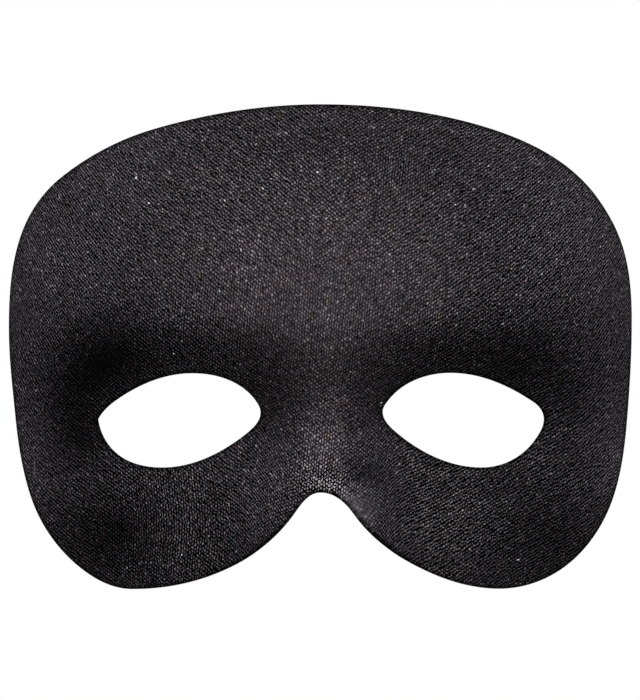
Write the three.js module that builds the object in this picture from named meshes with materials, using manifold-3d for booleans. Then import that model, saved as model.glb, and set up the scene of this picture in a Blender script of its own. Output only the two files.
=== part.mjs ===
// Domino mask: a half mask moulded in one piece from stiffened knit fabric, with cut edges, two eye openings and a
// notch for the nose. It lies face up on the rims of its two temples.
//
// Millimetres. +X runs to the viewer's right, +Y towards the crown and +Z out of the face. The shape is drawn with
// its height measured from the front of the forehead, and set down at the end with the middle of its box over the
// origin and its temple rims on z = 0.
import * as THREE from 'three';
import { mergeVertices } from 'three/addons/utils/BufferGeometryUtils.js';
import Module from 'manifold-3d';

const WALL = 1.4;
const REST_DEPTH = 38.9;

// Cut edge of each half, from the crown round the temple and the cheek lobe to the top of the nose notch.
// Each point is its distance out from the centre line, its height, and the edge's heading there in degrees.
const RIGHT_EDGE = {
  crown: [0, 65.3, 0],
  shoulder: [45, 59.1, -17],
  corner: [75, 40.2, -54],
  browSide: [80.8, 30, -68],
  temple: [84.3, 7, -90],
  cheekbone: [83, -20, -95],
  cheek: [79.4, -40, -108],
  jaw: [70, -56, -134],
  lobe: [48.5, -65.4, -180],
  wing: [25, -58.8, -208],
  nostril: [8.9, -45, -234],
  notch: [0, -39.3, -180],
};
const LEFT_EDGE = {
  crown: [0, 65.3, 0],
  shoulder: [45, 58.7, -16],
  corner: [70, 45.9, -38],
  browSide: [81.2, 30, -71],
  temple: [84.4, 5, -90],
  cheekbone: [82.5, -20, -96],
  cheek: [78.5, -40, -108],
  jaw: [65, -59.7, -141],
  lobe: [51, -65.5, -180],
  wing: [25, -59.9, -205],
  nostril: [7.1, -45, -234],
  notch: [0, -39.3, -180],
};

// Cut edge of each eye, from the inner corner over the upper lid to the outer corner and back under the lower lid.
const RIGHT_EYE = {
  upper: {
    inner: [16.8, -17.5, 90],
    bend: [17.9, -15, 54],
    lid: [35, -7.1, 0],
    brow: [57.5, -15, -34],
    outer: [60.3, -19.6, -90],
  },
  lower: {
    outer: [60.3, -19.6, -90],
    side: [58, -25, -125],
    cheek: [43.5, -32.6, -180],
    nose: [20, -22.7, -221],
    inner: [16.8, -17.5, -270],
  },
};
const LEFT_EYE = {
  upper: {
    inner: [16.2, -17.8, 90],
    bend: [17.2, -15, 56],
    lid: [34.5, -7.2, 0],
    brow: [55, -14.4, -35],
    outer: [60, -19.6, -62],
  },
  lower: {
    outer: [60, -19.6, -98],
    side: [55, -28.8, -140],
    cheek: [42.8, -32.6, -180],
    nose: [20, -23.4, -219],
    inner: [16.2, -17.8, -270],
  },
};

// The face's relief. "Start" is the height at which a feature begins as one goes down the face, and "run" is the
// distance over which it comes in.
const HEAD = { halfWidth: 84.2, middle: 10, crownHeight: 55.5, domeAcross: 2.0, domeUp: 1.6 };
const TEMPLE = { wrap: 40, ease: 3, cheekLoss: 0.24, start: -8, run: 48 };
const CROWN = { roll: 7.6, cornerRoll: 30 };
const BRIDGE = { drop: 7.5, start: 9, run: 33, rise: 7, riseStart: -17, riseRun: 38 };
const SOCKET = { drop: 14, start: 10, run: 38, fade: 0.95, fadeFrom: 42, fadeRun: 50, outerStart: 4 };
const CHEEK = { rise: 1.0, start: -18, run: 25 };
const NOSE = { halfLeft: 10.5, halfRight: 12.5, spread: 7.5, spreadStart: -10, spreadRun: 50, flank: 11 };
const TROUGH = { left: 2.1, right: 2.8, out: 7.5, width: 8.5, start: -4, run: 18 };
const CHIN = { start: -42, outerStart: 8, curl: 0.009, inner: 0.7, outer: 0.6, from: 29, run: 41 };

// Flat spots inside the temples, where a band would be fastened: place, size and how far each is pressed in.
const LAND = { across: 74.5, up: 10, width: 9, height: 13, press: 0.1 };

// Spokes from each eye's edge to the cut edge, by stretch, and rings between them.
const SPOKES = { centreUp: 14, crownToTemple: 21, templeToNotch: 25, centreDown: 6 };
const UPPER_SPOKES = SPOKES.centreUp + SPOKES.crownToTemple;
const LOWER_SPOKES = SPOKES.templeToNotch + SPOKES.centreDown;
const RINGS = 13;
const CENTRE_LEVEL = -17.3;
const CURVE_STEPS = 24;
const PROBE = 0.25;

const radians = THREE.MathUtils.degToRad;

function ease(t) {
  const s = THREE.MathUtils.clamp(t, 0, 1);
  return s ** 3 * (10 - 15 * s + 6 * s * s);
}

// Height of the face's front at a point, below the forehead's front.
function relief(x, y) {
  const out = Math.abs(x);
  const across = out / HEAD.halfWidth;
  const up = Math.max(y - HEAD.middle, 0) / HEAD.crownHeight;

  const cheekLoss = 1 - TEMPLE.cheekLoss * ease((TEMPLE.start - y) / TEMPLE.run);
  const wrap = HEAD.domeAcross * across ** 2 + TEMPLE.wrap * across ** 4 - TEMPLE.ease * across ** 12;
  const crown = HEAD.domeUp * up ** 2 + CROWN.roll * up ** 4 + CROWN.cornerRoll * across ** 2 * up ** 2;
  const outerChin = ease((out - CHIN.from) / CHIN.run);
  const below = Math.max(CHIN.start + CHIN.outerStart * outerChin - y, 0);
  const chin = CHIN.curl * below ** 2 * (CHIN.inner + CHIN.outer * outerChin);

  const bridge = BRIDGE.rise * ease((BRIDGE.riseStart - y) / BRIDGE.riseRun)
    - BRIDGE.drop * ease((BRIDGE.start - y) / BRIDGE.run);
  const fade = 1 - SOCKET.fade * ease((out - SOCKET.fadeFrom) / SOCKET.fadeRun);
  const brow = SOCKET.start + SOCKET.outerStart * across;
  const socket = fade * (CHEEK.rise * ease((CHEEK.start - y) / CHEEK.run)
    - SOCKET.drop * ease((brow - y) / SOCKET.run));

  const half = x < 0 ? NOSE.halfLeft : NOSE.halfRight;
  const flankAt = half + NOSE.spread * ease((NOSE.spreadStart - y) / NOSE.spreadRun);
  const onNose = 1 - ease((out - flankAt + NOSE.flank) / (2 * NOSE.flank));
  const depth = x < 0 ? TROUGH.left : TROUGH.right;
  const trough = depth * ease((TROUGH.start - y) / TROUGH.run)
    * Math.exp(-(((out - flankAt - TROUGH.out) / TROUGH.width) ** 2));

  return bridge * onNose + (socket - trough) * (1 - onNose) - wrap * cheekLoss - crown - chin;
}

// Outward normal of the front at a point.
function outward(x, y) {
  const slopeX = (relief(x + PROBE, y) - relief(x - PROBE, y)) / (2 * PROBE);
  const slopeY = (relief(x, y + PROBE) - relief(x, y - PROBE)) / (2 * PROBE);
  return new THREE.Vector3(-slopeX, -slopeY, 1).normalize();
}

// Points along a cut edge that is drawn through named points, rounded between each two as an arc is.
function edgeLine(points, side) {
  const path = new THREE.CurvePath();
  const list = Object.values(points);
  for (let i = 1; i < list.length; i += 1) {
    const [x0, y0, heading0] = list[i - 1];
    const [x1, y1, heading1] = list[i];
    const turn = radians(heading1 - heading0);
    const reach = (Math.hypot(x1 - x0, y1 - y0) * 2 / 3) / (1 + Math.cos(turn / 2));
    const from = new THREE.Vector2(Math.cos(radians(heading0)), Math.sin(radians(heading0))).multiplyScalar(reach);
    const to = new THREE.Vector2(Math.cos(radians(heading1)), Math.sin(radians(heading1))).multiplyScalar(reach);
    path.add(new THREE.CubicBezierCurve(
      new THREE.Vector2(side * x0, y0),
      new THREE.Vector2(side * (x0 + from.x), y0 + from.y),
      new THREE.Vector2(side * (x1 - to.x), y1 - to.y),
      new THREE.Vector2(side * x1, y1),
    ));
  }
  path.arcLengthDivisions = CURVE_STEPS * list.length;
  return path;
}

// Evenly spaced points from one share of a line's length to another, without the last.
function walk(line, count, start, end) {
  return Array.from({ length: count }, (_, i) => line.getPointAt(start + (end - start) * (i / count)));
}

// Share of a line's length at which it passes a height, going down.
function shareAtHeight(line, height) {
  let low = 0.2;
  let high = 0.6;
  for (let i = 0; i < 30; i += 1) {
    const middle = (low + high) / 2;
    if (line.getPointAt(middle).y > height) low = middle;
    else high = middle;
  }
  return (low + high) / 2;
}

// The closed line round one half: up the centre line, round the cut edge and up the centre line again.
function halfLoop(edge, side) {
  const line = edgeLine(edge, side);
  const temple = shareAtHeight(line, CENTRE_LEVEL);
  const centre = new THREE.Vector2(0, CENTRE_LEVEL);
  const up = new THREE.LineCurve(centre, new THREE.Vector2(0, edge.crown[1]));
  const down = new THREE.LineCurve(new THREE.Vector2(0, edge.notch[1]), centre);
  return [
    ...walk(up, SPOKES.centreUp, 0, 1),
    ...walk(line, SPOKES.crownToTemple, 0, temple),
    ...walk(line, SPOKES.templeToNotch, temple, 1),
    ...walk(down, SPOKES.centreDown, 0, 1),
  ];
}

function eyeLoop(eye, side) {
  return [
    ...walk(edgeLine(eye.upper, side), UPPER_SPOKES, 0, 1),
    ...walk(edgeLine(eye.lower, side), LOWER_SPOKES, 0, 1),
  ];
}

// One half of the shell: front and back faces on the same spokes and rings, joined along both cut edges.
function halfShell(edge, eye, side) {
  const outer = halfLoop(edge, side);
  const inner = eyeLoop(eye, side);
  const spokes = outer.length;
  const positions = [];
  const triangles = [];
  for (let i = 0; i < spokes; i += 1) {
    for (let ring = 0; ring <= RINGS; ring += 1) {
      const { x, y } = inner[i].clone().lerp(outer[i], ring / RINGS);
      const front = new THREE.Vector3(x, y, relief(x, y));
      const back = front.clone().addScaledVector(outward(x, y), -WALL);
      positions.push(...front, ...back);
    }
  }
  const at = (spoke, ring, layer) => ((spoke % spokes) * (RINGS + 1) + ring) * 2 + layer;
  const quad = (a, b, c, d) => {
    if (side > 0) triangles.push(a, b, c, a, c, d);
    else triangles.push(a, c, b, a, d, c);
  };
  const onCutEdge = (spoke) => spoke >= SPOKES.centreUp && spoke < spokes - SPOKES.centreDown;
  for (let i = 0; i < spokes; i += 1) {
    for (let ring = 0; ring < RINGS; ring += 1) {
      quad(at(i, ring, 0), at(i + 1, ring, 0), at(i + 1, ring + 1, 0), at(i, ring + 1, 0));
      quad(at(i, ring, 1), at(i, ring + 1, 1), at(i + 1, ring + 1, 1), at(i + 1, ring, 1));
    }
    quad(at(i, 0, 0), at(i, 0, 1), at(i + 1, 0, 1), at(i + 1, 0, 0));
    if (onCutEdge(i)) quad(at(i, RINGS, 0), at(i + 1, RINGS, 0), at(i + 1, RINGS, 1), at(i, RINGS, 1));
  }
  return { positions, triangles };
}

function geometryFrom(positions, triangles) {
  const geometry = new THREE.BufferGeometry();
  geometry.setAttribute('position', new THREE.Float32BufferAttribute(positions, 3));
  geometry.setIndex(triangles);
  return geometry;
}

// Both halves, sewn along the centre line.
function wholeShell() {
  const halves = [halfShell(RIGHT_EDGE, RIGHT_EYE, 1), halfShell(LEFT_EDGE, LEFT_EYE, -1)];
  const offset = halves[0].positions.length / 3;
  const positions = halves.flatMap((half) => half.positions);
  const triangles = [...halves[0].triangles, ...halves[1].triangles.map((index) => index + offset)];
  return mergeVertices(geometryFrom(positions, triangles), 1e-4);
}

// A block under the shell whose top is the plane on which the mask lies.
function tableBlock() {
  const depth = 20;
  const block = new THREE.BoxGeometry(4 * HEAD.halfWidth, 4 * HEAD.halfWidth, depth);
  return block.translate(0, 0, -REST_DEPTH - depth / 2);
}

// A block behind the shell whose face presses a flat spot into the inside of a temple.
function landBlock(side) {
  const x = side * LAND.across;
  const axis = outward(x, LAND.up);
  const depth = 6;
  const centre = new THREE.Vector3(x, LAND.up, relief(x, LAND.up));
  centre.addScaledVector(axis, LAND.press - WALL - depth / 2);
  const along = new THREE.Vector3(0, 1, 0).cross(axis).normalize();
  const turned = new THREE.Matrix4().makeBasis(along, axis.clone().cross(along), axis);
  const block = new THREE.BoxGeometry(LAND.width, LAND.height, depth);
  return block.applyMatrix4(turned.setPosition(centre));
}

const wasm = await Module();
wasm.setup();

function toSolid(geometry) {
  const bare = geometry.clone();
  bare.deleteAttribute('normal');
  bare.deleteAttribute('uv');
  const merged = mergeVertices(bare);
  return new wasm.Manifold(new wasm.Mesh({
    numProp: 3,
    vertProperties: Float32Array.from(merged.attributes.position.array),
    triVerts: Uint32Array.from(merged.index.array),
  }));
}

function toGeometry(solid) {
  const mesh = solid.getMesh();
  const geometry = geometryFrom(Array.from(mesh.vertProperties), Array.from(mesh.triVerts));
  geometry.computeVertexNormals();
  return geometry;
}

// Moves the shell so that the middle of its box is over the origin and its lowest point is on z = 0.
function setDown(geometry) {
  geometry.computeBoundingBox();
  const { min, max } = geometry.boundingBox;
  return geometry.translate(-(min.x + max.x) / 2, -(min.y + max.y) / 2, -min.z);
}

const shell = [tableBlock(), landBlock(1), landBlock(-1)]
  .reduce((solid, block) => solid.subtract(toSolid(block)), toSolid(wholeShell()));

const knit = new THREE.MeshStandardMaterial({ color: 0x1c1a1c, roughness: 0.9, metalness: 0 });
const maskShell = new THREE.Mesh(setDown(toGeometry(shell)), knit);
maskShell.name = 'mask_shell';

const mask = new THREE.Group();
mask.add(maskShell);

export default mask;
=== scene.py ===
import math

import bpy
import numpy as np
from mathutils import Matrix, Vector


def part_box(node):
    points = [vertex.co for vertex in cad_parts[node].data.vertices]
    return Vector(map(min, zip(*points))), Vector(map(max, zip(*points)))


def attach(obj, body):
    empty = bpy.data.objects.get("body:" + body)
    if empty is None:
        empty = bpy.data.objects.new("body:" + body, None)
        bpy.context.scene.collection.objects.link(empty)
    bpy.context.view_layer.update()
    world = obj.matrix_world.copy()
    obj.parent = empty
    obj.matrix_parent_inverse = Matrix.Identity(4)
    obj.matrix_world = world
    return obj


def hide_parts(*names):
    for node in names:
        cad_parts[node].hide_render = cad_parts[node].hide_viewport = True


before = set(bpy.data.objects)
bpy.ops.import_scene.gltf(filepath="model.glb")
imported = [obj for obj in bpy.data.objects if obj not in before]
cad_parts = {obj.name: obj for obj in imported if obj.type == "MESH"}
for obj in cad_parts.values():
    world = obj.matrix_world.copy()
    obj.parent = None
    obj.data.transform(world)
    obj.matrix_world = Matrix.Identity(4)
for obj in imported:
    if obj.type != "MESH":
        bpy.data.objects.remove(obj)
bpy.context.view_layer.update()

# The mask is drawn in millimetres, with heights measured from the front of the forehead, and set down in metres.
MM = 0.001
WALL = 1.4
REST_DEPTH = 38.9

# Cut edge of each half, from the crown round the temple and the cheek lobe to the top of the nose notch. Each point
# is its distance out from the centre line, its height, and the edge's heading there in degrees.
RIGHT_EDGE = {
    "crown": (0, 65.3, 0),
    "shoulder": (45, 59.1, -17),
    "corner": (75, 40.2, -54),
    "brow_side": (80.8, 30, -68),
    "temple": (84.3, 7, -90),
    "cheekbone": (83, -20, -95),
    "cheek": (79.4, -40, -108),
    "jaw": (70, -56, -134),
    "lobe": (48.5, -65.4, -180),
    "wing": (25, -58.8, -208),
    "nostril": (8.9, -45, -234),
    "notch": (0, -39.3, -180),
}
LEFT_EDGE = {
    "crown": (0, 65.3, 0),
    "shoulder": (45, 58.7, -16),
    "corner": (70, 45.9, -38),
    "brow_side": (81.2, 30, -71),
    "temple": (84.4, 5, -90),
    "cheekbone": (82.5, -20, -96),
    "cheek": (78.5, -40, -108),
    "jaw": (65, -59.7, -141),
    "lobe": (51, -65.5, -180),
    "wing": (25, -59.9, -205),
    "nostril": (7.1, -45, -234),
    "notch": (0, -39.3, -180),
}

# Cut edge of each eye: the upper lid outwards, then the lower lid back to the inner corner.
RIGHT_EYE = {
    "upper": {
        "inner": (16.8, -17.5, 90),
        "bend": (17.9, -15, 54),
        "lid": (35, -7.1, 0),
        "brow": (57.5, -15, -34),
        "outer": (60.3, -19.6, -90),
    },
    "lower": {
        "outer": (60.3, -19.6, -90),
        "side": (58, -25, -125),
        "cheek": (43.5, -32.6, -180),
        "nose": (20, -22.7, -221),
        "inner": (16.8, -17.5, -270),
    },
}
LEFT_EYE = {
    "upper": {
        "inner": (16.2, -17.8, 90),
        "bend": (17.2, -15, 56),
        "lid": (34.5, -7.2, 0),
        "brow": (55, -14.4, -35),
        "outer": (60, -19.6, -62),
    },
    "lower": {
        "outer": (60, -19.6, -98),
        "side": (55, -28.8, -140),
        "cheek": (42.8, -32.6, -180),
        "nose": (20, -23.4, -219),
        "inner": (16.2, -17.8, -270),
    },
}

# The face's relief, feature by feature, as the solid has it.
HEAD = {"half_width": 84.2, "middle": 10, "crown_height": 55.5, "dome_across": 2.0, "dome_up": 1.6}
TEMPLE = {"wrap": 40, "ease": 3, "cheek_loss": 0.24, "start": -8, "run": 48}
CROWN = {"roll": 7.6, "corner_roll": 30}
BRIDGE = {"drop": 7.5, "start": 9, "run": 33, "rise": 7, "rise_start": -17, "rise_run": 38}
SOCKET = {"drop": 14, "start": 10, "run": 38, "fade": 0.95, "fade_from": 42, "fade_run": 50, "outer_start": 4}
CHEEK = {"rise": 1.0, "start": -18, "run": 25}
NOSE = {"half_left": 10.5, "half_right": 12.5, "spread": 7.5, "spread_start": -10, "spread_run": 50, "flank": 11}
TROUGH = {"left": 2.1, "right": 2.8, "out": 7.5, "width": 8.5, "start": -4, "run": 18}
CHIN = {"start": -42, "outer_start": 8, "curl": 0.009, "inner": 0.7, "outer": 0.6, "from": 29, "run": 41}

# Flat spot pressed into the inside of each temple, where a band is fixed.
LAND = {"across": 74.5, "up": 10, "width": 9, "height": 13, "press": 0.1}

# Mesh: points of each eye and cut edge by stretch, rings between them, and steps round the softened edges.
SPOKES = {"centre_up": 66, "crown_to_temple": 104, "temple_to_notch": 124, "centre_down": 26}
FIRST_CUT = SPOKES["centre_up"]
LAST_CUT = SPOKES["centre_up"] + SPOKES["crown_to_temple"] + SPOKES["temple_to_notch"]
RINGS = 54
EDGE_STEPS = 6
EDGE_TURNED = 3
EDGE_ROUND = 0.5
EDGE_SQUARENESS = 0.7
CENTRE_LEVEL = -17.3
CURVE_STEPS = 60
PROBE = 0.25
WELD_DIGITS = 4

# Finishes, in the order of the mask's material slots.
KNIT, CUT, LINING = 0, 1, 2

# The mesh's map, as shares of its width. The unrolled face and its rims fill the lower
# part, and the two halves of the lining lie on their sides above it, each by the middle of its inner edge.
FACE_SCALE = 1 / 205
FACE_MIDDLE = (0.5, 0.352)
LINING_SCALE = 0.003
LINING_MIDDLE = {-1: (0.25, 0.693), 1: (0.75, 0.693)}
LINING_DROP = 1.1
RIM_STEP = 0.3

# Knit: columns of stitches, the pitch of the stitches along a column, how far the cloth lies askew, and by what share
# its columns close up at the rims of the temples.
COLUMN = 0.711
STITCH = 1.08
ASKEW = math.radians(4.9)
GATHER_LEFT = 0.15
GATHER_RIGHT = 0.32
CLOTH_PITCH = 0.5
CLOTH_REACH = 92

# How far the yarn strays across its columns and along them, and over what length it does so.
STRAY = {"across": 1.2, "along": 1.6, "over": 1.3}

# Slants of the stitches: how strongly the one that stands out shows and how strongly the other, the distances from the
# centre line between which they change places, and how far that change wanders and over what length.
SLANT = {"strong": 0.85, "weak": 0.3, "from": -25.0, "to": 35.0, "wander": 40.0, "over": 14.0}

# Rise of a stitch above its gaps: how narrow its crest is and how high.
CREST = {"narrow": 2.4, "high": 3.9}

# How bright a stitch is: its even part, how much chance adds or takes, and more where the knit is open, what a
# few bright ones have on top and how few they are, what single fibres add or take and their size, and the whole.
SHINE = {"even": 0.9, "chance": 0.1, "chance_open": 0.2, "bright": 1.1, "few": 12.0, "fibre": 1.4, "fibre_size": 1.1,
         "whole": 0.105}
GLINTS = {"share": 0.0012, "strength": 4.0}

# Clouds are read off at levels far enough apart to differ, and each draw by stitch has a seed of its own.
LEVEL = {"rows": 9.0, "lining": 40.0, "tint": 60.0, "fibres": 80.0}
SEED = {"shine": 1.0, "glints": 2.0}

# Colours: the yarn's cool and warm patches, a glint, the gaps, and the cut edge and the lining from dark to light.
COOL_YARN, WARM_YARN = (0.092, 0.088, 0.104), (0.112, 0.085, 0.087)
GLINT = (0.88, 0.86, 0.88)
GAP = (0.0008, 0.0008, 0.0008)
CUT_COLOURS = (0.001, 0.001, 0.001), (0.006, 0.006, 0.006)
LINING_COLOURS = (0.003, 0.003, 0.003), (0.016, 0.0145, 0.0155)
SHEEN_TINT = (1.0, 0.87, 0.96)

# Painted light and shade on the face: soft patches, each with its middle, reach across and up, and change in
# brightness. They paint light on the forehead, the nose ridge and the lobe, a painted highlight at the top of the
# notch and on its lip, and painted shade under the brow, at the temples and corners, down the cheeks and in the
# troughs beside the nose. Along a cut the knit is darker.
PAINTED_LIGHT_AND_SHADE = {
    "forehead": ((0, 22), (50, 22), 0.45),
    "crown": ((0, 58), (50, 12), -0.3),
    "left_corner": ((-66, 36), (18, 14), -0.25),
    "right_corner": ((48, 42), (22, 14), -0.25),
    "right_forehead_side": ((62, 20), (14, 16), -0.15),
    "nose_bridge": ((2, -10), (10, 14), 0.7),
    "nose_left": ((-12, -22), (7, 8), -0.25),
    "nose_tip": ((0, -28), (7, 7), 0.8),
    "notch_top": ((2, -38), (5, 3), 2.0),
    "notch_lip": ((9, -43), (5, 5), 0.9),
    "right_trough": ((12, -34), (6, 5), -0.6),
    "wing_trough": ((19, -42), (5, 5), -0.3),
    "left_brow_side": ((-56, -3), (15, 13), -0.8),
    "right_brow_side": ((50, -4), (18, 12), -0.75),
    "left_lid": ((-35, -2), (18, 7), -0.25),
    "right_lid": ((28, -2), (12, 8), -0.2),
    "left_temple": ((-68, -20), (11, 20), -0.65),
    "left_eye_side": ((-61, -26), (8, 8), -0.3),
    "right_temple": ((68, -18), (12, 30), -0.35),
    "left_cheek": ((-38, -46), (18, 14), -0.35),
    "left_cheek_side": ((-57, -50), (13, 11), -0.65),
    "right_under_eye": ((46, -36), (13, 7), -0.35),
    "right_cheek": ((58, -48), (14, 13), -0.5),
    "right_lobe": ((28, -54), (10, 14), 0.25),
}
CUT_TONE = 0.35
CUT_REACH = 0.9

# How deep the gaps between the stitches look, and patches where they look deeper or shallower. This is partly the
# knit's own look and partly painted shade: deeper gaps darken the knit in the sockets, down the cheeks and at the
# temples, where shade falls, and shallower ones keep it lighter over the brow and nose, at the notch's lip and along
# the rims.
OPEN = 1.15
OPENNESS_AND_SHADE = {
    "brow_and_nose": ((2, 8), (36, 28), -0.3),
    "left_cheek": ((-42, -50), (22, 16), 1.6),
    "left_socket": ((-55, -6), (26, 12), 1.5),
    "right_socket": ((52, -4), (24, 11), 1.4),
    "right_cheek": ((50, -44), (24, 15), 1.3),
    "left_temple": ((-70, 18), (14, 30), 0.5),
    "right_temple": ((64, 20), (16, 34), 0.8),
    "left_rim": ((-84, 10), (7, 40), -0.4),
    "right_rim": ((84, 10), (7, 40), -0.4),
    "notch_top": ((0, -37), (5, 4), 1.2),
    "notch_lip": ((10, -44), (6, 5), -0.9),
}

# Patches where the stitches line up in columns.
UPRIGHT = 0.3
COLUMNS = {
    "brow": ((-4, 9), (34, 15), 0.8),
    "crown": ((22, 47), (10, 7), 0.6),
    "left_cheek": ((-41, -48), (14, 14), 1.4),
    "nose_ridge": ((0, -32), (7, 12), 0.5),
    "left_temple": ((-74, 0), (12, 14), 0.4),
}

# Height of the lens above the table, in metres, and the spot that it looks down on, in the drawing's millimetres.
CAMERA_HEIGHT = 6.0
AIM = (-0.135, -0.918)
PICTURE_HEIGHT = 189.07
SIGHT_DEPTH = 15
SENSOR = 36
CLIP = (0.1, 50)

# Each light's size, strength, colour and direction from the mask: its tilt from straight above and its bearing, in
# degrees.
LIGHT_DISTANCE = 1.5
MASK_MIDDLE = (0, 0, 0.02)
WHITE = (1.0, 1.0, 1.0)
COOL = (0.92, 1.0, 1.09)
LIGHTS = {
    "over_lens": ((0.4, 0.4), 20.0, WHITE, (0, 0)),
    "above": ((0.6, 0.6), 20.0, WHITE, (42, 90)),
    "right_low": ((0.6, 0.35), 18.0, COOL, (80, 30)),
    "left_low": ((0.6, 0.35), 18.0, COOL, (80, 150)),
    "crown_low": ((0.6, 0.35), 14.0, WHITE, (80, 90)),
}

# The table under the mask, in metres: half its width, and its top, a hair below the rims.
TABLE_HALF = 8.0
TABLE_TOP = -0.0001


def ease(t):
    s = np.clip(t, 0, 1)
    return s**3 * (10 - 15 * s + 6 * s * s)


def relief(x, y):
    """Height of the face's front at a point, below the front of the forehead."""
    out = np.abs(x)
    across = out / HEAD["half_width"]
    up = np.maximum(y - HEAD["middle"], 0) / HEAD["crown_height"]

    cheek_loss = 1 - TEMPLE["cheek_loss"] * ease((TEMPLE["start"] - y) / TEMPLE["run"])
    wrap = HEAD["dome_across"] * across**2 + TEMPLE["wrap"] * across**4 - TEMPLE["ease"] * across**12
    crown = HEAD["dome_up"] * up**2 + CROWN["roll"] * up**4 + CROWN["corner_roll"] * across**2 * up**2
    outer_chin = ease((out - CHIN["from"]) / CHIN["run"])
    below = np.maximum(CHIN["start"] + CHIN["outer_start"] * outer_chin - y, 0)
    chin = CHIN["curl"] * below**2 * (CHIN["inner"] + CHIN["outer"] * outer_chin)

    bridge = BRIDGE["rise"] * ease((BRIDGE["rise_start"] - y) / BRIDGE["rise_run"])
    bridge = bridge - BRIDGE["drop"] * ease((BRIDGE["start"] - y) / BRIDGE["run"])
    fade = 1 - SOCKET["fade"] * ease((out - SOCKET["fade_from"]) / SOCKET["fade_run"])
    brow = SOCKET["start"] + SOCKET["outer_start"] * across
    socket = CHEEK["rise"] * ease((CHEEK["start"] - y) / CHEEK["run"])
    socket = fade * (socket - SOCKET["drop"] * ease((brow - y) / SOCKET["run"]))

    left = x < 0
    flank_at = np.where(left, NOSE["half_left"], NOSE["half_right"])
    flank_at = flank_at + NOSE["spread"] * ease((NOSE["spread_start"] - y) / NOSE["spread_run"])
    on_nose = 1 - ease((out - flank_at + NOSE["flank"]) / (2 * NOSE["flank"]))
    trough = np.where(left, TROUGH["left"], TROUGH["right"]) * ease((TROUGH["start"] - y) / TROUGH["run"])
    trough = trough * np.exp(-(((out - flank_at - TROUGH["out"]) / TROUGH["width"]) ** 2))

    return bridge * on_nose + (socket - trough) * (1 - on_nose) - wrap * cheek_loss - crown - chin


def outward(x, y):
    """Unit normal of the face's front."""
    slope_x = (relief(x + PROBE, y) - relief(x - PROBE, y)) / (2 * PROBE)
    slope_y = (relief(x, y + PROBE) - relief(x, y - PROBE)) / (2 * PROBE)
    normal = np.stack([-slope_x, -slope_y, np.ones_like(slope_x)], -1)
    return normal / np.linalg.norm(normal, axis=-1, keepdims=True)


def on_front(plan):
    return np.concatenate([plan, relief(plan[..., 0], plan[..., 1])[..., None]], -1)


def edge_line(points, side):
    """Closely spaced points through the named ones, rounded between each two as an arc is."""
    named = list(points.values())
    line = []
    for (x0, y0, heading0), (x1, y1, heading1) in zip(named, named[1:]):
        leave_by, arrive_by = math.radians(heading0), math.radians(heading1)
        start, end = np.array([x0, y0]), np.array([x1, y1])
        reach = math.dist(start, end) * (2 / 3) / (1 + math.cos((arrive_by - leave_by) / 2))
        leave = start + reach * np.array([math.cos(leave_by), math.sin(leave_by)])
        arrive = end - reach * np.array([math.cos(arrive_by), math.sin(arrive_by)])
        t = np.linspace(0, 1, CURVE_STEPS + 1)[:, None]
        bend = (1 - t) ** 3 * start + 3 * (1 - t) ** 2 * t * leave + 3 * (1 - t) * t**2 * arrive + t**3 * end
        line.append(bend[1:] if line else bend)
    return np.concatenate(line) * [side, 1]


def lengths_along(line):
    return np.concatenate([[0], np.cumsum(np.linalg.norm(np.diff(line, axis=0), axis=1))])


def walk(line, count, start=0.0, end=1.0):
    """Evenly spaced points from one share of a line's length to another, without the last."""
    along = lengths_along(line)
    at = along[-1] * (start + (end - start) * np.arange(count) / count)
    return np.stack([np.interp(at, along, line[:, k]) for k in (0, 1)], 1)


def half_loop(edge, side):
    """One half's outline: up the centre line, round the cut edge and up the centre line from the notch."""
    line = edge_line(edge, side)
    along = lengths_along(line)
    temple = along[int(np.argmax(line[:, 1] < CENTRE_LEVEL))] / along[-1]
    return np.concatenate([
        walk(np.array([[0, CENTRE_LEVEL], [0, edge["crown"][1]]]), SPOKES["centre_up"]),
        walk(line, SPOKES["crown_to_temple"], 0, temple),
        walk(line, SPOKES["temple_to_notch"], temple, 1),
        walk(np.array([[0, edge["notch"][1]], [0, CENTRE_LEVEL]]), SPOKES["centre_down"]),
    ])


def eye_loop(eye, side):
    return np.concatenate([
        walk(edge_line(eye["upper"], side), SPOKES["centre_up"] + SPOKES["crown_to_temple"]),
        walk(edge_line(eye["lower"], side), SPOKES["temple_to_notch"] + SPOKES["centre_down"]),
    ])


def into_loop(loop, side):
    """Unit directions in plan that point from a loop's points to its inside."""
    ahead = np.roll(loop, -1, axis=0) - np.roll(loop, 1, axis=0)
    inward = np.stack([ahead[:, 1], -ahead[:, 0]], 1) * side
    return inward / np.linalg.norm(inward, axis=1, keepdims=True)


def press_lands(back):
    """The lining's points, pressed flat on the inside of each temple where a band is fixed."""
    for side in (-1, 1):
        x = side * LAND["across"]
        facing = outward(np.array(x), np.array(LAND["up"]))
        spot = np.array([x, LAND["up"], relief(np.array(x), np.array(LAND["up"]))])
        along = np.cross([0, 1, 0], facing)
        along /= np.linalg.norm(along)
        away = back - spot
        deep = away @ facing
        inside = np.abs(away @ along) < LAND["width"] / 2
        inside &= np.abs(away @ np.cross(facing, along)) < LAND["height"] / 2
        lift = np.maximum(LAND["press"] - WALL - deep, 0) * inside
        back = back + lift[..., None] * facing
    return back


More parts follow.
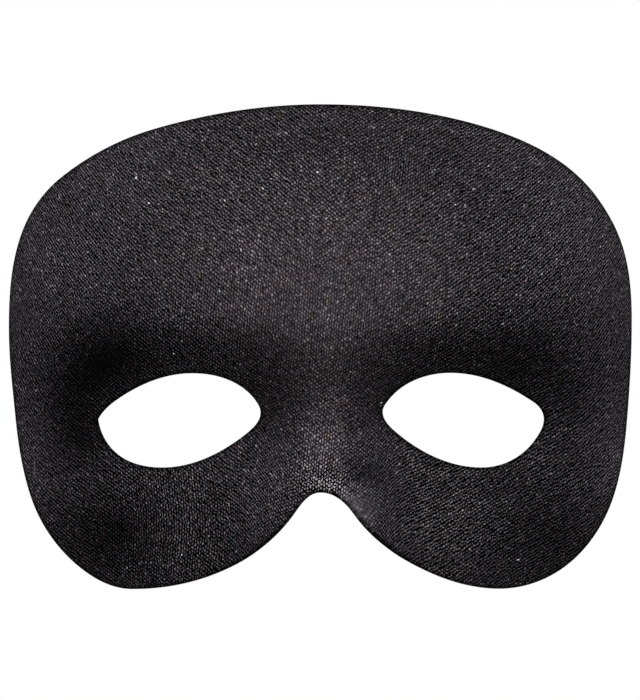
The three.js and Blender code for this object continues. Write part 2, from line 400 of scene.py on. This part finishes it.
def softened(facing, direction):
    """Steps round a cut edge from the front to the back, counted from the front's last point."""
    turn = math.pi * np.arange(1, EDGE_STEPS) / EDGE_STEPS
    stand = EDGE_ROUND * np.sin(turn) ** EDGE_SQUARENESS
    deep = (1 - np.sign(np.cos(turn)) * np.abs(np.cos(turn)) ** EDGE_SQUARENESS) * WALL / 2
    tilt = np.concatenate([direction, np.zeros((len(direction), 1))], 1)
    tilt -= facing * np.sum(tilt * facing, axis=1, keepdims=True)
    tilt /= np.linalg.norm(tilt, axis=1, keepdims=True)
    return stand[None, :, None] * tilt[:, None] - deep[None, :, None] * facing[:, None]


def drawn_in(loop, direction):
    """A loop moved back from its cut edge by as far as the softened edge stands out, seen from the front."""
    steps = softened(outward(loop[:, 0], loop[:, 1]), direction)
    reach = np.sum(steps[..., :2] * direction[:, None], axis=2).max(axis=1)
    return loop - np.maximum(reach, 0)[:, None] * direction


class Cloth:
    """Distances measured over the moulded face, so that the stitches keep their pitch down its slopes."""

    def __init__(self):
        self.axis = np.arange(-CLOTH_REACH, CLOTH_REACH + CLOTH_PITCH, CLOTH_PITCH)
        x, y = np.meshgrid(self.axis, self.axis, indexing="ij")
        height = relief(x, y)
        gather = np.where(x < 0, GATHER_LEFT, GATHER_RIGHT)
        self.gathered = self.measured(height, 0, 1 + gather * np.abs(x / HEAD["half_width"]) ** 3)
        self.across = self.measured(height, 0, 1)
        self.up = self.measured(height, 1, 1)

    def measured(self, height, axis, closeness):
        slope = np.gradient(height, CLOTH_PITCH, axis=axis)
        distance = np.cumsum(np.sqrt(1 + slope**2) * closeness * CLOTH_PITCH, axis=axis)
        return distance - np.take(distance, [len(self.axis) // 2], axis=axis)

    def read(self, plan, *grids):
        """What the grids say at points in plan."""
        place = np.clip((plan - self.axis[0]) / CLOTH_PITCH, 0, len(self.axis) - 1.001)
        low = place.astype(int)
        part = place - low
        i, j, di, dj = low[..., 0], low[..., 1], part[..., 0], part[..., 1]
        found = []
        for grid in grids:
            near = grid[i, j] * (1 - di) + grid[i + 1, j] * di
            far = grid[i, j + 1] * (1 - di) + grid[i + 1, j + 1] * di
            found.append(near * (1 - dj) + far * dj)
        return found

    def knit(self, plan):
        """Where the points are among the stitches."""
        u, v = self.read(plan, self.gathered, self.up)
        turn_u = u * math.cos(ASKEW) - v * math.sin(ASKEW)
        turn_v = u * math.sin(ASKEW) + v * math.cos(ASKEW)
        return np.stack([turn_u, turn_v, np.zeros_like(u)], -1)

    def unrolled(self, plan):
        return np.stack(self.read(plan, self.across, self.up), -1)


CLOTH = Cloth()


def half_charts(plan, out_of_cloth, into_eye, side):
    """Where a half's points lie on the map, as points of the face and its rims and as points of the lining."""
    flat = CLOTH.unrolled(plan)
    steps = RIM_STEP * np.arange(1, EDGE_STEPS + 1)[None, :, None]
    cut_rim = flat[:, -1:] + steps * out_of_cloth[:, None]
    lid_rim = flat[:, :1] + steps * into_eye[:, None]
    face = np.concatenate([flat, cut_rim, flat[:, 1:-1], lid_rim[:, ::-1]], 1)
    lining = np.zeros_like(face)
    lining[:, RINGS + EDGE_STEPS:2 * RINGS + EDGE_STEPS + 1] = flat[:, ::-1]
    turned = np.stack([side * (lining[..., 1] + LINING_DROP), side * lining[..., 0]], -1)
    return FACE_MIDDLE + face * FACE_SCALE, LINING_MIDDLE[side] + turned * LINING_SCALE


def half_shell(edge, eye, side):
    """Points of one half by spoke: front from the eye to the cut edge, round it, back behind, and round the lid.

    With them comes where each was laid, which is its place in plan and its distance from the nearest cut, and its
    two places on the map.
    """
    outer, inner = half_loop(edge, side), eye_loop(eye, side)
    spoke = np.arange(len(outer))
    cut = (spoke >= FIRST_CUT) & (spoke <= LAST_CUT)
    out_of_cloth = -into_loop(outer, side)
    out_of_cloth[FIRST_CUT] = [0, 1]
    out_of_cloth[LAST_CUT] = [0, -1]
    into_eye = into_loop(inner, side)
    start = drawn_in(inner, into_eye)
    end = np.where(cut[:, None], drawn_in(outer, out_of_cloth), outer)

    share = np.linspace(0, 1, RINGS + 1)[None, :, None]
    plan = start[:, None] + (end - start)[:, None] * share
    front = on_front(plan)
    normal = outward(plan[..., 0], plan[..., 1])
    back = press_lands(front - WALL * normal)
    cut_rim = front[:, -1:] + softened(normal[:, -1], out_of_cloth)
    lid_rim = front[:, :1] + softened(normal[:, 0], into_eye)
    points = np.concatenate([front, cut_rim, back[:, ::-1], lid_rim[:, ::-1]], 1)

    length = np.linalg.norm(end - start, axis=1)[:, None]
    from_edge = np.minimum(share[..., 0], np.where(cut[:, None], 1 - share[..., 0], 1)) * length
    laid = np.concatenate([plan, from_edge[..., None]], 2)
    laid = np.concatenate([
        laid,
        np.repeat(laid[:, -1:], EDGE_STEPS - 1, 1),
        laid[:, ::-1],
        np.repeat(laid[:, :1], EDGE_STEPS - 1, 1),
    ], 1)
    return points, laid, *half_charts(plan, out_of_cloth, into_eye, side)


def half_faces(side):
    """Quads of one half by place in its list of points, each with the finish it wears: face, cut edge or lining."""
    chain = 2 * (RINGS + EDGE_STEPS)
    count = sum(SPOKES.values())
    rim = [KNIT] * EDGE_TURNED + [CUT] * (EDGE_STEPS - EDGE_TURNED)
    finishes = [KNIT] * RINGS + rim + [LINING] * RINGS + rim[::-1]
    quads, worn = [], []
    for i in range(count):
        j = (i + 1) % count
        for k, finish in enumerate(finishes):
            if RINGS <= k < RINGS + EDGE_STEPS and not FIRST_CUT <= i < LAST_CUT:
                continue
            k1 = (k + 1) % chain
            quad = (i * chain + k, i * chain + k1, j * chain + k1, j * chain + k)
            quads.append(quad[::-1] if side > 0 else quad)
            worn.append(finish)
    return np.array(quads), worn


def mask_mesh():
    """The whole mask in the drawing's millimetres: points, where each was laid, quads, finishes and map."""
    points, laid, quads, worn, charted = [], [], [], [], []
    for edge, eye, side in ((RIGHT_EDGE, RIGHT_EYE, 1), (LEFT_EDGE, LEFT_EYE, -1)):
        half, half_laid, face_chart, lining_chart = half_shell(edge, eye, side)
        faces, finishes = half_faces(side)
        lined = (np.array(finishes) == LINING)[:, None, None]
        charted.append(np.where(lined, lining_chart.reshape(-1, 2)[faces], face_chart.reshape(-1, 2)[faces]))
        quads.append(faces + sum(len(p) for p in points))
        worn += finishes
        points.append(half.reshape(-1, 3))
        laid.append(half_laid.reshape(-1, 3))
    points, laid, quads = np.concatenate(points), np.concatenate(laid), np.concatenate(quads)
    points[:, 2] = np.maximum(points[:, 2], -REST_DEPTH)

    used, quads = np.unique(quads, return_inverse=True)
    quads = quads.reshape(-1, 4)
    points, laid = points[used], laid[used]
    _, first, shared = np.unique(points.round(WELD_DIGITS), axis=0, return_index=True, return_inverse=True)
    return points[first], laid[first], shared.reshape(-1)[quads], worn, np.concatenate(charted)


def patchy(x, y, patches):
    """Sum of soft round patches at a point."""
    return sum(
        change * np.exp(-(((x - middle[0]) / reach[0]) ** 2) - ((y - middle[1]) / reach[1]) ** 2)
        for middle, reach, change in patches.values()
    )


def painted_shading(x, y, from_edge):
    """Painted light and shade on the knit at a point, with the knit darker near a cut."""
    return (1 + patchy(x, y, PAINTED_LIGHT_AND_SHADE)) * (CUT_TONE + (1 - CUT_TONE) * ease(from_edge / CUT_REACH))


class Yarn:
    """A value that changes over the cloth. Arithmetic on it adds nodes to the finish that it belongs to."""

    def __init__(self, tree, socket=None):
        self.tree = tree
        self.socket = socket

    def node(self, kind, settings=None, sockets=None, output=0):
        made = self.tree.nodes.new(kind)
        for name, value in (settings or {}).items():
            setattr(made, name, value)
        for key, value in (sockets or {}).items():
            entry = made.inputs[key]
            if isinstance(value, Yarn):
                self.tree.links.new(value.socket, entry)
            else:
                entry.default_value = value
        return Yarn(self.tree, made.outputs[output])

    def maths(self, operation, *values):
        return self.node("ShaderNodeMath", {"operation": operation}, dict(enumerate(values)))

    def __add__(self, other):
        return self.maths("ADD", self, other)

    def __sub__(self, other):
        return self.maths("SUBTRACT", self, other)

    def __rsub__(self, other):
        return self.maths("SUBTRACT", other, self)

    def __mul__(self, other):
        return self.maths("MULTIPLY", self, other)

    def __truediv__(self, other):
        return self.maths("DIVIDE", self, other)

    def __pow__(self, other):
        return self.maths("POWER", self, other)

    def attribute(self, name, output="Fac"):
        return self.node("ShaderNodeAttribute", {"attribute_name": name}, None, output)

    def wave(self):
        """Cosine, one wave for each whole number, from -1 to 1."""
        return self.maths("COSINE", self * (2 * math.pi))

    def nearest(self):
        return self.maths("ROUND", self)

    def at_least(self, low):
        return self.maths("MAXIMUM", self, low)

    def over(self, limit):
        return self.maths("GREATER_THAN", self, limit)

    def kept(self, low, high):
        """0 below the low value and 1 above the high one, smooth between."""
        settings = {"interpolation_type": "SMOOTHSTEP"}
        return self.node("ShaderNodeMapRange", settings, {"Value": self, "From Min": low, "From Max": high})

    def bump(self, strength, distance):
        """Normal of the surface, as if this were its height."""
        return self.node("ShaderNodeBump", None, {"Strength": strength, "Distance": distance, "Height": self})

    def between(self, dark, light):
        """Colour from one to the other as this goes from 0 to 1."""
        dark, light = (c if isinstance(c, Yarn) else (*c, 1) for c in (dark, light))
        return self.node("ShaderNodeMix", {"data_type": "RGBA"}, {0: self, 6: dark, 7: light}, 2)


def joined(x, y, z=0.0):
    return x.node("ShaderNodeCombineXYZ", None, {"X": x, "Y": y, "Z": z})


def cloudy(place, size, detail=2.0, roughness=0.5):
    """Smooth patches about as large as size, from 0 to 1."""
    return place.node("ShaderNodeTexNoise", {"noise_dimensions": "3D"},
                      {"Vector": place, "Scale": 1 / size, "Detail": detail, "Roughness": roughness})


def chance(x, y, seed):
    """A number from 0 to 1 drawn for each stitch."""
    return x.node("ShaderNodeTexWhiteNoise", {"noise_dimensions": "3D"}, {"Vector": joined(x, y, seed)})


def new_finish(name):
    material = bpy.data.materials.new(name)
    material.use_nodes = True
    tree = material.node_tree
    tree.nodes.clear()
    return material, Yarn(tree)


def wear(material, shader):
    output = material.node_tree.nodes.new("ShaderNodeOutputMaterial")
    material.node_tree.links.new(shader.socket, output.inputs["Surface"])
    return material


def stitch_grid(cloth):
    """Where a point is on the cloth: its place, its distances across and up, and its column and row of stitches."""
    place = cloth.attribute("knit_place", "Vector")
    u = cloth.node("ShaderNodeSeparateXYZ", None, {0: place}, "X")
    v = cloth.node("ShaderNodeSeparateXYZ", None, {0: place}, "Y")

    # The yarn runs a little unevenly.
    stray_u = (cloudy(place, STRAY["over"]) - 0.5) * STRAY["across"]
    stray_v = (cloudy(joined(v, u, LEVEL["rows"]), STRAY["over"]) - 0.5) * STRAY["along"]
    column = (u + stray_u) / COLUMN
    row = (v + stray_v) / (STITCH / 2)
    return place, u, v, column, row


def black_knit():
    """The face: fine black warp knit with slanted stitches, near-black gaps between them and a few bright glints."""
    material, cloth = new_finish("black_knit")
    place, u, v, column, row = stitch_grid(cloth)
    painted_light = cloth.attribute("knit_painted_light")
    # The knit's brightness here carries the face's painted light and shade.
    open_and_shade = cloth.attribute("knit_open_and_shade")
    # The depth of the gaps here is partly painted shade.
    upright = cloth.attribute("knit_columns")
    forward = (row + column) * 0.5
    back = (row - column) * 0.5

    # One slant stands out on the left half and the other on the right, and in places the columns do.
    strong, weak = SLANT["strong"], SLANT["weak"]
    wander = (cloudy(place, SLANT["over"]) - 0.5) * SLANT["wander"]
    lean = (u + wander).kept(SLANT["from"], SLANT["to"]) * (strong - weak)
    weave = forward.wave() * (strong - lean) + back.wave() * (lean + weak) + column.wave() * upright
    share = (weave + (strong + weak) + upright) / (upright * 2.0 + 2 * (strong + weak))
    stitch = share.at_least(0.0) ** CREST["narrow"] * CREST["high"]

    # Every stitch catches the light differently, and a few shine.
    draw = chance(forward.nearest(), back.nearest(), SEED["shine"])
    glint = chance(forward.nearest(), back.nearest(), SEED["glints"]).over(1 - GLINTS["share"])
    raised = ((stitch - 1.0) * open_and_shade + 1.0).at_least(0.0)
    fibre = (cloudy(joined(u, v, LEVEL["fibres"]), SHINE["fibre_size"], 0.0) - 0.5) * SHINE["fibre"]
    uneven = (draw - 0.5) * (open_and_shade * SHINE["chance_open"] + SHINE["chance"]) + draw ** SHINE["few"] * SHINE["bright"]
    lit = raised * (uneven + fibre + SHINE["even"]) * painted_light * SHINE["whole"]

    tint = cloudy(joined(u, v, LEVEL["tint"]), 2.5, 3.0).kept(0.3, 0.7).between(COOL_YARN, WARM_YARN)
    colour = (glint * lit * GLINTS["strength"]).between(tint, GLINT)
    gap = cloth.node("ShaderNodeBsdfDiffuse", None, {"Color": (*GAP, 1), "Roughness": 1.0}, "BSDF")
    yarn = cloth.node("ShaderNodeBsdfPrincipled", None, {
        "Base Color": colour,
        "Roughness": 0.55,
        "Specular IOR Level": 1.0,
        "Specular Tint": (*SHEEN_TINT, 1),
        "Normal": (stitch * 0.3).bump(0.35, 0.00012),
    }, "BSDF")
    return wear(material, cloth.node("ShaderNodeMixShader", None, {0: lit, 1: gap, 2: yarn}, "Shader"))


def cut_edge():
    """The cut through the knit and its stiffened back: dull, nearly black fibre ends."""
    material, cloth = new_finish("cut_edge")
    fibres = cloudy(cloth.attribute("knit_place", "Vector"), 0.4, 4.0, 0.6)
    shader = cloth.node("ShaderNodeBsdfPrincipled", None, {
        "Base Color": fibres.between(*CUT_COLOURS),
        "Roughness": 0.95,
        "Specular IOR Level": 0.03,
        "Normal": fibres.bump(0.6, 0.0001),
    }, "BSDF")
    return wear(material, shader)


def black_lining():
    """The inside: the knit's stiffened back, duller than its face, with the stitches showing faintly through."""
    material, cloth = new_finish("black_lining")
    _, u, v, column, row = stitch_grid(cloth)
    stitch = (column.wave() + (row * 0.5).wave()) * 0.25 + 0.5
    stiffening = cloudy(joined(u, v, LEVEL["lining"]), 4.0, 4.0, 0.6)
    shade = stitch * 0.55 + stiffening.kept(0.3, 0.7) * 0.45
    shader = cloth.node("ShaderNodeBsdfPrincipled", None, {
        "Base Color": shade.between(*LINING_COLOURS),
        "Roughness": stiffening.kept(0.2, 0.8) * 0.25 + 0.65,
        "Specular IOR Level": 0.2,
        "Normal": (stitch + stiffening * 0.5).bump(0.4, 0.0001),
    }, "BSDF")
    return wear(material, shader)


def white_table():
    material, paper = new_finish("white_table")
    shader = paper.node("ShaderNodeBsdfPrincipled", None, {
        "Base Color": (0.0, 0.0, 0.0, 1),
        "Roughness": 1.0,
        "Specular IOR Level": 0.0,
        "Emission Color": (1.0, 1.0, 1.0, 1),
        "Emission Strength": 1.0,
    }, "BSDF")
    return wear(material, shader)


def build_mask():
    points, laid, quads, worn, charted = mask_mesh()
    low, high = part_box("mask_shell")
    middle = (points.min(0) + points.max(0)) / 2 * MM
    set_down = np.array([(low[0] + high[0]) / 2 - middle[0], (low[1] + high[1]) / 2 - middle[1],
                         low[2] + REST_DEPTH * MM])
    mesh = bpy.data.meshes.new("mask")
    mesh.from_pydata((points * MM + set_down).tolist(), [], quads.tolist())
    mesh.polygons.foreach_set("material_index", worn)
    mesh.polygons.foreach_set("use_smooth", [True] * len(quads))
    x, y, from_edge = laid.T
    knit_place = mesh.attributes.new("knit_place", "FLOAT_VECTOR", "POINT")
    knit_place.data.foreach_set("vector", CLOTH.knit(laid[:, :2]).ravel())
    by_point = {
        # Painted light and shade of the face.
        "knit_painted_light": painted_shading(x, y, from_edge),
        # Depth of the gaps, partly painted shade.
        "knit_open_and_shade": OPEN + patchy(x, y, OPENNESS_AND_SHADE),
        "knit_columns": UPRIGHT + patchy(x, y, COLUMNS),
    }
    for name, values in by_point.items():
        mesh.attributes.new(name, "FLOAT", "POINT").data.foreach_set("value", values)
    mesh.uv_layers.new(name="OFBake").uv.foreach_set("vector", charted.ravel())
    mesh.update()
    mask = bpy.data.objects.new("mask", mesh)
    bpy.context.scene.collection.objects.link(mask)
    for material in (black_knit(), cut_edge(), black_lining()):
        mesh.materials.append(material)
    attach(mask, "root")
    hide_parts("mask_shell")
    return set_down


def build_table():
    half = TABLE_HALF
    corners = [(x, y, TABLE_TOP) for x, y in ((-half, -half), (half, -half), (half, half), (-half, half))]
    mesh = bpy.data.meshes.new("table_top")
    mesh.from_pydata(corners, [], [(0, 1, 2, 3)])
    table = bpy.data.objects.new("table_top", mesh)
    bpy.context.scene.collection.objects.link(table)
    mesh.materials.append(white_table())


def add_light(name, size, strength, colour, direction):
    tilt, bearing = (math.radians(angle) for angle in direction)
    place = LIGHT_DISTANCE * Vector((math.sin(tilt) * math.cos(bearing), math.sin(tilt) * math.sin(bearing),
                                     math.cos(tilt)))
    data = bpy.data.lights.new(name, "AREA")
    data.shape = "RECTANGLE"
    data.size, data.size_y = size
    data.energy = strength
    data.color = colour
    light = bpy.data.objects.new(name, data)
    bpy.context.scene.collection.objects.link(light)
    light.location = place
    light.rotation_euler = (Vector(MASK_MIDDLE) - place).to_track_quat("-Z", "Y").to_euler()
    light.visible_camera = False


def light_room():
    for name, settings in LIGHTS.items():
        add_light(name, *settings)
    world = bpy.data.worlds.new("studio")
    bpy.context.scene.world = world
    world.use_nodes = True
    world.node_tree.nodes["Background"].inputs["Color"].default_value = (0.0, 0.0, 0.0, 1)


def set_camera(set_down):
    data = bpy.data.cameras.new("camera")
    data.sensor_width = SENSOR
    sight = CAMERA_HEIGHT - SIGHT_DEPTH * MM
    data.lens = SENSOR * sight / (PICTURE_HEIGHT * MM)
    data.clip_start, data.clip_end = CLIP
    camera = bpy.data.objects.new("camera", data)
    bpy.context.scene.collection.objects.link(camera)
    camera.location = (AIM[0] * MM + set_down[0], AIM[1] * MM + set_down[1], CAMERA_HEIGHT)
    bpy.context.scene.camera = camera


set_down = build_mask()
build_table()
light_room()
set_camera(set_down)
bpy.context.scene.view_settings.view_transform = "Standard"
